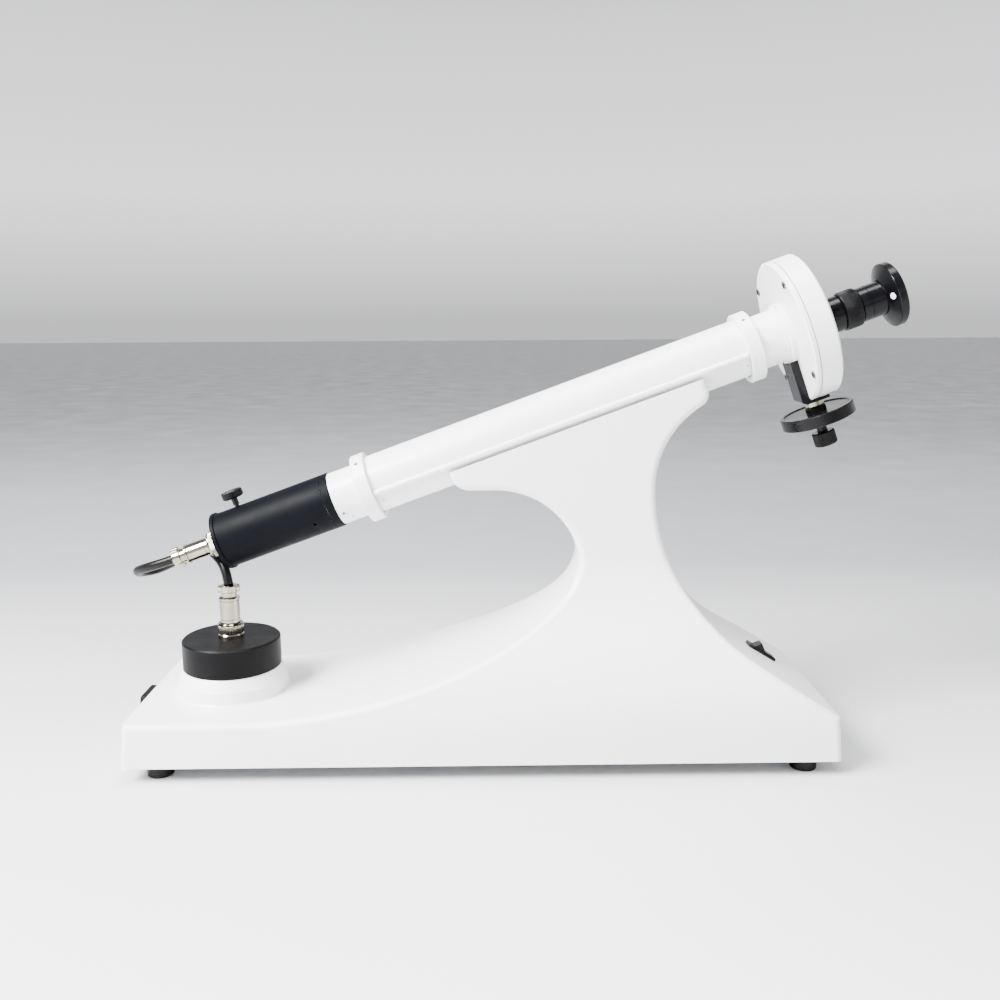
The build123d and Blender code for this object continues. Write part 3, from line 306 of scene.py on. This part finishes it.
NODE_SLOT = {s["node"]: s["material_slot"] for s in frame["record"]["subparts"]}


def finish_of(node):
    return OWN.get(node) or MATS[NODE_SLOT[node]]


for node_name, obj in frame["nodes"].items():
    if not obj.material_slots:
        obj.data.materials.append(finish_of(node_name))
    for material_slot in obj.material_slots:
        material_slot.material = finish_of(node_name)


# ---- pieces ------------------------------------------------------------------------------------
def add(name, mesh, place, node, material=None):
    """Puts a mesh given in millimetres in place, on the body and in place of its CAD node."""
    mesh.transform(Matrix.Scale(MM, 4) @ place)
    obj = bpy.data.objects.new(name, mesh)
    bpy.context.collection.objects.link(obj)
    mesh.materials.append(material or finish_of(node))
    body = next(b for b, names in frame["record"]["behaviour"]["bodies"].items() if node in names)
    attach(obj, body)
    return obj


def sharpen(bm, angle=0.6):
    for face in bm.faces:
        face.smooth = True
    for edge in bm.edges:
        edge.smooth = len(edge.link_faces) != 2 or edge.calc_face_angle(0) < angle


def knurl_cut(knurl, radius, z, angle):
    """How deep the grooves are cut at one point of a turned surface."""
    low, high, teeth, depth, inner_radius = knurl
    if not low - 1e-6 <= z <= high + 1e-6 or radius <= inner_radius:
        return 0.0
    wave = abs((angle * teeth / (2 * pi)) % 1.0 - 0.5) * 2
    return depth * (1 - min(1.0, 1.6 * (1 - wave)))


def lathe(outline, seg=96, knurl=None):
    """A turned solid from (radius, height) corners. knurl = (low, high, teeth, depth, inner_radius)
    cuts straight grooves between two heights, where the surface is outside inner_radius."""
    bm = bmesh.new()
    points = []
    for (r0, z0), (r1, z1) in zip(outline, outline[1:] + outline[:1]):
        points.append((r0, z0))
        if knurl and min(z0, z1) >= knurl[0] - 1e-6 and max(z0, z1) <= knurl[1] + 1e-6 and abs(z1 - z0) > 1:
            points.append((r0 + (r1 - r0) / 2, z0 + (z1 - z0) / 2))
    if knurl:
        seg = knurl[2] * 4
    rings = []
    for r, z in points:
        if r < 1e-6:
            rings.append([bm.verts.new((0, 0, z))])
            continue
        ring = []
        for i in range(seg):
            angle = 2 * pi * i / seg
            cut = knurl_cut(knurl, r, z, angle) if knurl else 0.0
            ring.append(bm.verts.new(((r - cut) * cos(angle), (r - cut) * sin(angle), z)))
        rings.append(ring)
    for a, b in zip(rings, rings[1:] + rings[:1]):
        if len(a) == 1 and len(b) == 1:
            continue
        for i in range(max(len(a), len(b))):
            j = (i + 1) % max(len(a), len(b))
            loop = [a[i % len(a)], b[i % len(b)], b[j % len(b)], a[j % len(a)]]
            bm.faces.new([v for k, v in enumerate(loop) if v not in loop[:k]])
    bmesh.ops.recalc_face_normals(bm, faces=bm.faces)
    sharpen(bm)
    mesh = bpy.data.meshes.new("turned")
    bm.to_mesh(mesh)
    bm.free()
    return mesh


def nut(r, bore, back_bore, length, back):
    """Coupling nut: a knurled drum with a stepped, chamfered back."""
    outline = [(bore, 0), (r - 0.5, 0), (r, 0.5), (r, length - 1.9), (r - 0.5, length - 1.6),
               (r - 0.5, length - 1.2), (r - 0.3, length - 0.6), (r - 0.9, length), (back_bore, length),
               (back_bore, length - back), (bore, length - back)]
    return lathe(outline, knurl=(0.5, length - 1.9, 54, 0.35, r - 1))


def plug(inner_r, r, neck_r, start, shoulder, ridge, neck, tail):
    """Barrel with two fine grooves and a raised ring, and the neck that the clamp sits on."""
    mid = shoulder + 2.2
    outline = [(0, start), (inner_r, start), (inner_r, shoulder), (r - 0.5, shoulder), (r, shoulder + 0.5),
               (r, mid), (r - 0.25, mid + 0.15), (r - 0.25, mid + 0.5), (r, mid + 0.65),
               (r, ridge - 2.2), (r - 0.3, ridge - 2.0), (r - 0.3, ridge - 1.5), (r + 0.45, ridge - 1.2),
               (r + 0.45, ridge - 0.3), (r + 0.1, ridge), (neck_r + 0.3, neck - 0.2), (neck_r, neck),
               (neck_r, tail), (0, tail)]
    return lathe(outline, 96)


def merged(*meshes):
    bm = bmesh.new()
    for mesh in meshes:
        bm.from_mesh(mesh)
    out = bpy.data.meshes.new("merged")
    bm.to_mesh(out)
    bm.free()
    return out


def moved(mesh, matrix):
    mesh.transform(matrix)
    return mesh


def bar(x0, x1, y0, y1, z0, z1, soft=0.4):
    """A softly bevelled block."""
    bm = bmesh.new()
    bmesh.ops.create_cube(bm, size=1)
    for v in bm.verts:
        v.co = ((x0 + x1) / 2 + v.co.x * (x1 - x0),
                (y0 + y1) / 2 + v.co.y * (y1 - y0),
                (z0 + z1) / 2 + v.co.z * (z1 - z0))
    bmesh.ops.bevel(bm, geom=bm.edges[:], offset=soft, segments=3, affect="EDGES", profile=0.6)
    sharpen(bm, 0.9)
    mesh = bpy.data.meshes.new("bar")
    bm.to_mesh(mesh)
    bm.free()
    return mesh


def clamp(bore, outer, z0, z1):
    """Two half rings with ears, drawn together over the cable."""
    ring_r = outer - 0.9
    ring = lathe([(bore, z0), (ring_r - 0.4, z0), (ring_r, z0 + 0.4), (ring_r, z1 - 0.7),
                  (ring_r - 0.7, z1), (bore, z1)])
    parts = [ring]
    for side in (1, -1):
        for y0, y1 in ((0.35, 2.3), (-2.3, -0.35)):
            x0, x1 = sorted((side * (bore + 0.9), side * (outer + 0.5)))
            parts.append(bar(x0, x1, y0, y1, z0 + 0.3, z1 - 0.4, 0.5))
    return merged(*parts)


def screw_head(r, h):
    """Rounded head with a small socket in its middle, top at height h."""
    outline = [(0, 0), (r, 0), (r, h * 0.6), (r * 0.8, h * 0.92), (r * 0.45, h), (0.35, h), (0.3, h * 0.6),
               (0, h * 0.6)]
    return lathe(outline, 40)


def clamp_heads(bore, outer, z0, z1):
    parts = []
    for side in (1, -1):
        at = Matrix.Translation((side * (outer - 1.2), -2.3, (z0 + z1) / 2)) @ Matrix.Rotation(pi / 2, 4, "X")
        parts.append(moved(screw_head(1.35, 1.1), at))
    return merged(*parts)


LAMP_NUT_AT = 188.25     # the nuts' lower faces, along their own plugs
CAP_NUT_AT = 79.0


def spun(place, degrees_about):
    return place @ Matrix.Rotation(radians(degrees_about), 4, "Z")


CLAMPS = (
    (spun(CAP, 18), dict(bore=3.0, outer=6.8, z0=107.4, z1=CAP_PLUG_TOP)),
    (spun(LAMP_PLUG, 65), dict(bore=3.0, outer=6.5, z0=215.6, z1=PLUG_TAIL)),
)


def make_connectors():
    """The nuts, plug bodies and cable clamps at both ends of the lead."""
    made = {}
    lamp_at = LAMP_PLUG @ Matrix.Translation((0, 0, LAMP_NUT_AT))
    cap_at = CAP @ Matrix.Translation((0, 0, CAP_NUT_AT))
    cap_nickel = OWN["cap_socket"]
    lamp_nut = nut(8.95, 5.28, 4.75, 6.3, 0.9)
    made["lamp_plug_nut"] = add("lamp_nut_knurled", lamp_nut, lamp_at, "lamp_plug_nut")
    cap_nut = nut(8.7, 7.68, 6.25, 7.2, 1.2)
    made["cap_plug_nut"] = add("cap_nut_knurled", cap_nut, cap_at, "cap_plug_nut", cap_nickel)
    made["lamp_plug"] = add(
        "lamp_plug_body", plug(4.7, 6.15, 4.9, 193.5, 194.7, 211.7, 212.3, 217.0), LAMP_PLUG, "lamp_plug")
    made["cap_plug"] = add(
        "cap_plug_body", plug(6.2, 6.7, 5.2, 83.9, 86.3, 103.8, 104.6, 108.8), CAP, "cap_plug", cap_nickel)
    clamps = merged(*[moved(clamp(**size), place) for place, size in CLAMPS])
    made["plug_clamps"] = add("plug_clamp_ears", clamps, Matrix(), "plug_clamps")
    heads = merged(*[moved(clamp_heads(**size), place) for place, size in CLAMPS])
    made["clamp_screws"] = add("plug_clamp_heads", heads, Matrix(), "clamp_screws")
    for node, piece in made.items():
        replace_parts(piece, node)
    return list(made.values())


def make_cable():
    curve = bpy.data.curves.new("lamp_lead", "CURVE")
    curve.dimensions = "3D"
    spline = curve.splines.new("NURBS")
    spline.points.add(len(CABLE_ROUTE) - 1)
    for point, place in zip(spline.points, CABLE_ROUTE):
        point.co = (*[v * MM for v in place], 1)
    spline.order_u = 3
    spline.use_endpoint_u = True
    curve.resolution_u = 14
    curve.bevel_depth = CABLE_D / 2 * MM
    curve.bevel_resolution = 8
    curve.use_fill_caps = True
    cable = bpy.data.objects.new("lamp_lead", curve)
    bpy.context.collection.objects.link(cable)
    curve.materials.append(MATS["black_rubber"])
    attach(cable, "stand")
    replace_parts(cable, "lamp_cable")
    return cable


connectors = make_connectors()
cable = make_cable()


def make_focus_ring():
    outline = [(10.45, 250.1), (11.9, 250.1), (12.5, 250.6), (12.5, 251.0), (12.8, 251.3), (12.8, 260.6),
               (12.5, 260.9), (12.5, 261.3), (11.9, 261.8), (10.45, 261.8)]
    ring = lathe(outline, knurl=(251.3, 260.6, 84, 0.28, 12))
    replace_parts(add("focus_ring_knurled", ring, TUBE, "focus_ring"), "focus_ring")


def make_fine_knob():
    outline = [(2, 63.4), (3.4, 63.4), (3.4, 70.2), (6.7, 70.2), (7.5, 70.9), (7.5, 78.9), (6.7, 79.7),
               (2.2, 79.7), (2.0, 79.4), (0, 79.4), (0, 78.6), (2, 78.6)]
    knob = lathe(outline, knurl=(70.9, 78.9, 52, 0.25, 6))
    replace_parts(add("fine_knob_knurled", knob, SHAFT, "fine_knob", OWN["handwheel"]), "fine_knob")


def make_thumb_screw():
    outline = [(0, 13.3), (1.45, 13.3), (1.45, 19.9), (2.1, 19.9), (2.1, 24.6), (6.1, 24.6), (7.1, 25.5),
               (7.1, 29.3), (6.4, 30.1), (5.4, 30.1), (5.1, 29.8), (0, 29.8)]
    screw = lathe(outline, knurl=(25.5, 29.3, 38, 0.4, 6))
    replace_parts(add("thumb_screw_knurled", screw, THUMB, "thumb_screw"), "thumb_screw")


DOT_AT = (-16.3, 0, 279.7)
CONE_NORMAL = radians(204.6)     # the turn that points local Z out of the eyecup's cone


def make_dot():
    """The painted dot, flush on the eyecup's cone on the operator's side."""
    disc = lathe([(0, -0.6), (2.1, -0.6), (2.1, 0.06), (1.9, 0.14), (0, 0.14)], 48)
    at = TUBE @ Matrix.Translation(DOT_AT) @ Matrix.Rotation(CONE_NORMAL, 4, "Y")
    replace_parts(add("index_dot_flush", disc, at, "index_dot"), "index_dot")


make_focus_ring()
make_fine_knob()
make_thumb_screw()
make_dot()


# ---- stage -------------------------------------------------------------------------------------
def make_stage():
    bm = bmesh.new()
    bmesh.ops.create_grid(bm, x_segments=2, y_segments=2, size=14)
    mesh = bpy.data.meshes.new("floor")
    bm.to_mesh(mesh)
    bm.free()
    floor = bpy.data.objects.new("floor", mesh)
    bpy.context.collection.objects.link(floor)
    m = Mat("floor", Specular_IOR_Level=0.35)
    split = m.nodes.new("ShaderNodeSeparateXYZ")
    m.links.new(m.place, split.inputs[0])
    # painted shade: the floor's colour darkens from front to back, standing in for the falloff of the light
    # across it
    painted_far_shade = m.math("ADD", m.span(split.outputs[1], 0, 1, -0.3, 0.5), m.span(m.noise(1.4, 3), -0.04, 0.04))
    m.colour(m.mix(painted_far_shade, (0.78, 0.785, 0.79), (0.3, 0.306, 0.325)))
    m.roughness(m.span(m.noise(9, 4), 0.3, 0.42))
    mesh.materials.append(m.mat)


def area(name, at, look, size, power, colour=(1, 1, 1)):
    data = bpy.data.lights.new(name, "AREA")
    data.shape, data.size, data.energy, data.color = "SQUARE", size, power, colour
    light = bpy.data.objects.new(name, data)
    light.location = at
    light.rotation_euler = (Vector(look) - Vector(at)).to_track_quat("-Z", "Y").to_euler()
    bpy.context.collection.objects.link(light)


WORLD_TONES = ((0.0, 0.3), (0.12, 0.66), (0.27, 0.5), (0.42, 0.16), (1.0, 0.22))
WORLD_STRENGTH = 2.6


def make_world():
    """A backdrop that is brightest a little above the horizon, under a dimmer ceiling."""
    world = bpy.data.worlds.new("world")
    world.use_nodes = True
    nodes, links = world.node_tree.nodes, world.node_tree.links
    split = nodes.new("ShaderNodeSeparateXYZ")
    links.new(nodes.new("ShaderNodeTexCoord").outputs["Generated"], split.inputs[0])
    ramp = nodes.new("ShaderNodeValToRGB")
    links.new(split.outputs[2], ramp.inputs[0])
    for at, tone in WORLD_TONES[1:-1]:
        ramp.color_ramp.elements.new(at)
    for element, (at, tone) in zip(ramp.color_ramp.elements, WORLD_TONES):
        element.position = at
        element.color = (tone, tone * 1.01, tone * 1.025, 1)
    background = nodes["Background"]
    links.new(ramp.outputs[0], background.inputs[0])
    background.inputs[1].default_value = WORLD_STRENGTH
    bpy.context.scene.world = world


def make_lights():
    area("key", (-1.15, -0.75, 1.3), (0, 0, 0.12), 0.8, 215, (1, 0.995, 0.985))
    area("top", (-0.1, -0.1, 1.6), (0, 0, 0.1), 0.8, 42)
    area("fill", (1.3, -0.9, 0.9), (0, 0, 0.15), 1.0, 6, (0.97, 0.985, 1))
    area("back", (0.3, 1.4, 1.2), (0, 0, 0.15), 1.2, 8)
    make_world()


make_stage()
make_lights()
